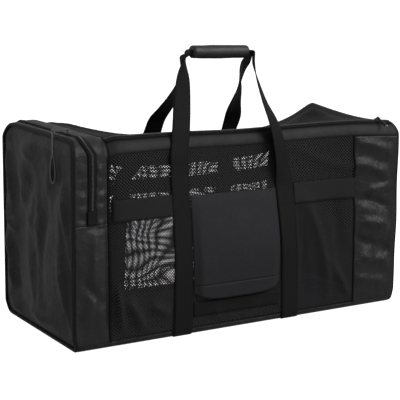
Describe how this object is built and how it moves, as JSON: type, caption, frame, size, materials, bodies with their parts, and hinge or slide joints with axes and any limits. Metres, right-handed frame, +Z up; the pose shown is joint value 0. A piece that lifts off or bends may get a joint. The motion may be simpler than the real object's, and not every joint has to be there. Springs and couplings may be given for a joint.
{
  "type": "mesh dive gear bag",
  "caption": "Long boxy net duffel for wet dive gear, with a zipped cloth pocket on one end, webbing handles joined in a padded grip and a stow pocket on the front.",
  "frame": {"origin": "on the floor under the middle of the bag's body", "axes": "+X along the bag away from its zipped end pocket, -Y out of the front with the stow pocket, +Z up"},
  "size_m": [0.7559, 0.3329, 0.5395],
  "materials": {
    "net": "matte black open polyester net",
    "cloth": "black coated nylon with a soft satin sheen",
    "pocket_cloth": "black packcloth, a little lighter and bluer",
    "webbing": "dull black flat polypropylene webbing",
    "binding": "black grosgrain binding tape",
    "zip": "black coil zip on woven tape",
    "metal": "nickel plated zinc",
    "moulded": "glossy black moulded pull"
  },
  "bodies": {
    "bag": {"base_panel": "cloth", "front_net_panel": "net", "rear_net_panel": "net", "front_wrap_panel": "cloth", "rear_wrap_panel": "cloth", "front_hem": "cloth", "rear_hem": "cloth", "main_zip": "zip", "lid_panel": "cloth", "right_end_panel": "cloth", "divider_panel": "cloth", "right_end_binding": "binding", "end_pocket_panel": "cloth", "end_pocket_binding": "binding", "gusset_outer_strip": "cloth", "gusset_inner_strip": "cloth", "gusset_front_lower": "cloth", "gusset_rear_lower": "cloth", "pocket_zip": "zip", "zip_end_tab_front": "webbing", "zip_end_tab_rear": "webbing", "front_band_left": "webbing", "front_band_right": "webbing", "rear_band_left": "webbing", "rear_band_middle": "webbing", "rear_band_right": "webbing", "stow_pocket": "pocket_cloth", "stow_pocket_hem": "webbing", "stow_pocket_lip": "webbing", "front_left_strap": "webbing", "front_right_strap": "webbing", "rear_left_strap": "webbing", "rear_right_strap": "webbing", "grip_wrap": "pocket_cloth", "pocket_slider": "metal", "main_slider": "metal"},
    "pocket_tab": {"pocket_pull_tab": "metal"},
    "pocket_pull": {"pocket_pull_link": "metal", "pocket_pull_loop": "moulded"},
    "main_tab": {"main_pull_tab": "metal"}
  },
  "joints": [
    {"name": "pocket_tab_hinge", "type": "hinge", "parent": "bag", "child": "pocket_tab", "pos_m": [-0.34616, -0.08428, 0.39231], "axis": [0, 1, 0], "range_deg": [0, 150]},
    {"name": "pocket_pull_hinge", "type": "hinge", "parent": "pocket_tab", "child": "pocket_pull", "pos_m": [-0.37616, -0.08428, 0.39231], "axis": [0, 1, 0], "range_deg": [0, 90]},
    {"name": "main_tab_hinge", "type": "hinge", "parent": "bag", "child": "main_tab", "pos_m": [0.3316, -0.13731, 0.39093], "axis": [-1, 0, 0], "range_deg": [0, 150]}
  ]
}
